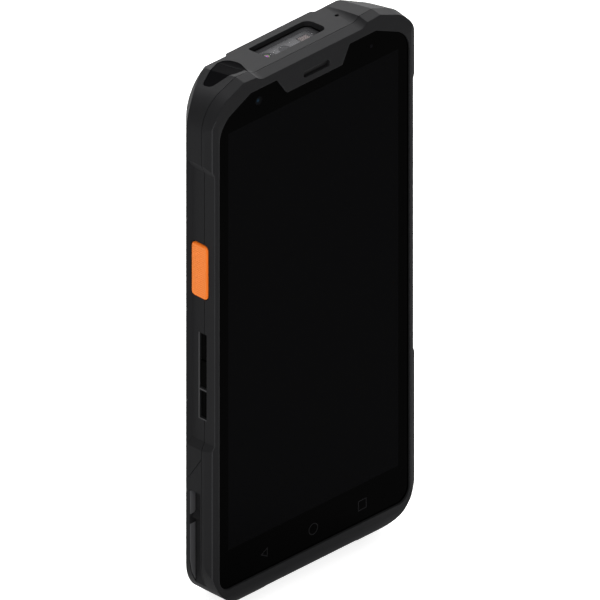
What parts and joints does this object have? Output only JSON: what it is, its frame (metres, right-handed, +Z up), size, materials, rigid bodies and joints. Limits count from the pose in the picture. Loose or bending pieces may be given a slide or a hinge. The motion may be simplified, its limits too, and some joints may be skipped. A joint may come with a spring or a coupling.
{
  "type": "portable barcode data terminal",
  "caption": "Rugged hand-held barcode terminal: tall touch display in a bumpered shell, scan window on top, orange side scan keys, hinged battery cover behind.",
  "frame": {"origin": "middle of the underside, where the two feet of the lower edge stand, halfway through the overall depth", "axes": "+Z up along the display's long side, +X to the right of someone facing the display, display facing -Y"},
  "size_m": [0.0752, 0.0172, 0.1571],
  "materials": {
    "frame_black": "fine matt texture",
    "housing_black": "fine matt texture",
    "key_black": "satin",
    "scan_orange": "satin with fine ribs",
    "cover_glass": "polished",
    "display_black": "smooth, switched off",
    "foam_black": "matt",
    "chassis_metal": "cast, satin",
    "window_glass": "polished",
    "gasket_rubber": "matt",
    "lens_smoke": "smoked, polished",
    "led_white": "smooth",
    "module_black": "matt",
    "optic_glass": "coated",
    "mesh_steel": "woven mesh",
    "board_green": "solder mask",
    "shield_steel": "stamped",
    "flex_amber": "smooth film",
    "port_steel": "satin",
    "contact_gold": "plated",
    "battery_grey": "satin",
    "screw_steel": "black oxide",
    "switch_black": "satin"
  },
  "bodies": {
    "terminal": {"aimer": "optic_glass", "battery_contacts": "module_black", "battery_pack": "battery_grey", "board_shields": "shield_steel", "bottom_cap": "housing_black", "card_socket": "shield_steel", "charging_contacts": "contact_gold", "display_adhesive": "foam_black", "display_panel": "display_black", "earpiece_mesh": "mesh_steel", "earpiece_receiver": "module_black", "flash_led": "led_white", "flash_lens": "window_glass", "front_camera": "module_black", "front_frame": "frame_black", "housing_screws": "screw_steel", "illumination_led": "led_white", "light_sensor": "module_black", "loudspeaker": "module_black", "lower_board": "board_green", "main_board": "board_green", "main_flex": "flex_amber", "microphones": "shield_steel", "mid_chassis": "chassis_metal", "nfc_antenna": "flex_amber", "rear_camera": "module_black", "rear_camera_window": "window_glass", "rear_housing": "housing_black", "scan_engine": "module_black", "scan_lens": "optic_glass", "scan_switch_left": "switch_black", "scan_switch_right": "switch_black", "scan_window": "window_glass", "scan_window_gasket": "gasket_rubber", "side_board_left": "board_green", "side_board_right": "board_green", "side_key_switches": "switch_black", "speaker_mesh": "mesh_steel", "status_led": "led_white", "status_light_lens": "lens_smoke", "touch_glass": "cover_glass", "usb_c_port": "port_steel", "vibration_motor": "port_steel"},
    "scan_key_left": {"scan_key_left": "scan_orange"},
    "scan_key_right": {"scan_key_right": "scan_orange"},
    "volume_up_key": {"volume_up_key": "key_black"},
    "power_key": {"power_key": "key_black"},
    "volume_down_key": {"volume_down_key": "key_black"},
    "battery_cover": {"battery_cover": "housing_black"},
    "battery_latch": {"battery_latch": "key_black"}
  },
  "joints": [
    {"name": "scan_key_left_press", "type": "slide", "parent": "terminal", "child": "scan_key_left", "axis": [1, 0, 0], "range_m": [0, 0.0006], "stiffness_N_per_m": 600, "springref_m": -0.001},
    {"name": "scan_key_right_press", "type": "slide", "parent": "terminal", "child": "scan_key_right", "axis": [-1, 0, 0], "range_m": [0, 0.0006], "stiffness_N_per_m": 600, "springref_m": -0.001},
    {"name": "volume_up_key_press", "type": "slide", "parent": "terminal", "child": "volume_up_key", "axis": [1, 0, 0], "range_m": [0, 0.0005], "stiffness_N_per_m": 600, "springref_m": -0.001},
    {"name": "power_key_press", "type": "slide", "parent": "terminal", "child": "power_key", "axis": [1, 0, 0], "range_m": [0, 0.0005], "stiffness_N_per_m": 600, "springref_m": -0.001},
    {"name": "volume_down_key_press", "type": "slide", "parent": "terminal", "child": "volume_down_key", "axis": [1, 0, 0], "range_m": [0, 0.0005], "stiffness_N_per_m": 600, "springref_m": -0.001},
    {"name": "battery_cover_hinge", "type": "hinge", "parent": "terminal", "child": "battery_cover", "pos_m": [0, 0.00677, 0.1137], "axis": [1, 0, 0], "range_deg": [0, 30]},
    {"name": "battery_latch_slide", "type": "slide", "parent": "battery_cover", "child": "battery_latch", "axis": [0, 0, -1], "range_m": [0, 0.0024]}
  ]
}
